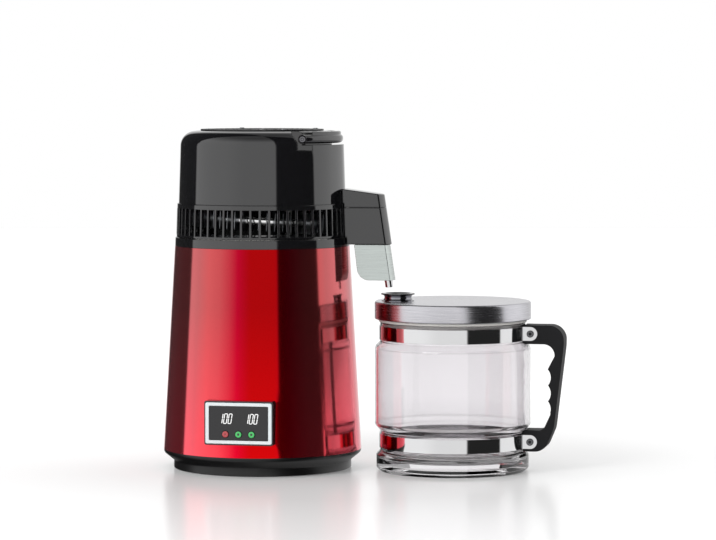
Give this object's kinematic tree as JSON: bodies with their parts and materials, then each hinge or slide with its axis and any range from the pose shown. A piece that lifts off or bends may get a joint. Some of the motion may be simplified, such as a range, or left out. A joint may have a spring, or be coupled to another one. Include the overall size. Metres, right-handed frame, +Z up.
{
  "type": "countertop water distiller",
  "caption": "Countertop water distiller: tapered painted boiler with a display, a lift-off head with fan, condenser and spout, and a lidded glass jug with a side handle.",
  "frame": {"origin": "on the counter under the boiler's axis", "axes": "+Z up, +X from the boiler towards the spout and jug, +Y to the back, the display faces -Y"},
  "size_m": [0.4614, 0.2369, 0.39],
  "materials": {
    "gloss_black": "polished",
    "black_plastic": "satin",
    "inner_plastic": "matte",
    "red_paint": "metallic gloss",
    "stainless": "brushed",
    "polished_steel": "polished",
    "aluminium": "satin",
    "rubber": "matte",
    "silicone": "matte",
    "clear_glass": "clear",
    "smoked_window": "polished",
    "digit_light": "lit",
    "silver_paint": "satin",
    "red_button": "polished",
    "green_button": "polished",
    "board": "satin",
    "brass": "satin",
    "charcoal_cloth": "woven"
  },
  "bodies": {
    "boiler": {"foot_pad": "rubber", "base_tray": "gloss_black", "base_screws": "stainless", "tank_legs": "aluminium", "body_shell": "red_paint", "collar": "gloss_black", "tank": "stainless", "heater_plate": "aluminium", "heating_element": "stainless", "heater_fixings": "stainless", "thermal_cutout": "black_plastic", "power_inlet": "black_plastic", "inlet_pins": "brass", "inlet_bracket": "stainless", "inlet_screws": "stainless", "fan_outlet": "black_plastic", "display_housing": "gloss_black", "display_frame": "silver_paint", "display_window": "smoked_window", "display_digits": "digit_light", "control_board": "board", "tact_switches": "black_plastic"},
    "power_key": {"button_power": "red_button"},
    "start_key": {"button_start": "green_button"},
    "set_key": {"button_set": "green_button"},
    "head": {"base_plate": "stainless", "head_gasket": "silicone", "vent_ring": "gloss_black", "dome": "gloss_black", "top_grille": "black_plastic", "grille_screws": "stainless", "bail_screws": "polished_steel", "condenser_coil": "stainless", "condenser_fins": "aluminium", "coil_posts": "stainless", "steam_seal": "silicone", "fan_motor": "black_plastic", "air_guide": "black_plastic", "fan_inlet": "black_plastic", "spout_housing": "gloss_black", "spout_screws": "stainless", "outlet_seal": "silicone"},
    "bail": {"bail": "gloss_black"},
    "fan": {"fan": "black_plastic", "fan_shaft": "stainless"},
    "cap": {"spout_cap": "gloss_black"},
    "cup": {"filter_cup": "stainless", "drip_tube": "polished_steel", "carbon_sachet": "charcoal_cloth"},
    "jug": {"jug_glass": "clear_glass", "upper_strap": "polished_steel", "lower_strap": "polished_steel", "handle": "gloss_black", "clamp_screws": "polished_steel", "clamp_nuts": "polished_steel"},
    "lid": {"lid": "stainless", "lid_liner": "inner_plastic", "lid_seal": "silicone", "port_collar": "polished_steel", "port_insert": "black_plastic"}
  },
  "joints": [
    {"name": "head_lift", "type": "slide", "parent": "boiler", "child": "head", "axis": [0, 0, 1], "range_m": [0, 0.2]},
    {"name": "bail_swing", "type": "hinge", "parent": "head", "child": "bail", "pos_m": [0.0472, 0, 0.37845], "axis": [0, -1, 0], "range_deg": [0, 90]},
    {"name": "fan_spin", "type": "hinge", "parent": "head", "child": "fan", "pos_m": [0, 0, 0.36], "axis": [0, 0, 1], "continuous": true},
    {"name": "cap_lift", "type": "slide", "parent": "head", "child": "cap", "axis": [0, 0, 1], "range_m": [0, 0.04]},
    {"name": "cup_pull", "type": "slide", "parent": "head", "child": "cup", "axis": [0, 0, -1], "range_m": [0, 0.004]},
    {"name": "power_press", "type": "slide", "parent": "boiler", "child": "power_key", "axis": [0.2028, 0.9792, 0], "range_m": [0, 0.001], "stiffness_N_per_m": 1500},
    {"name": "start_press", "type": "slide", "parent": "boiler", "child": "start_key", "axis": [0.2028, 0.9792, 0], "range_m": [0, 0.001], "stiffness_N_per_m": 1500},
    {"name": "set_press", "type": "slide", "parent": "boiler", "child": "set_key", "axis": [0.2028, 0.9792, 0], "range_m": [0, 0.001], "stiffness_N_per_m": 1500},
    {"name": "jug_slide", "type": "slide", "parent": "boiler", "child": "jug", "axis": [1, 0, 0], "range_m": [0, 0.15]},
    {"name": "lid_turn", "type": "hinge", "parent": "jug", "child": "lid", "pos_m": [0.218, -0.027, 0.18], "axis": [0, 0, 1], "continuous": true}
  ]
}
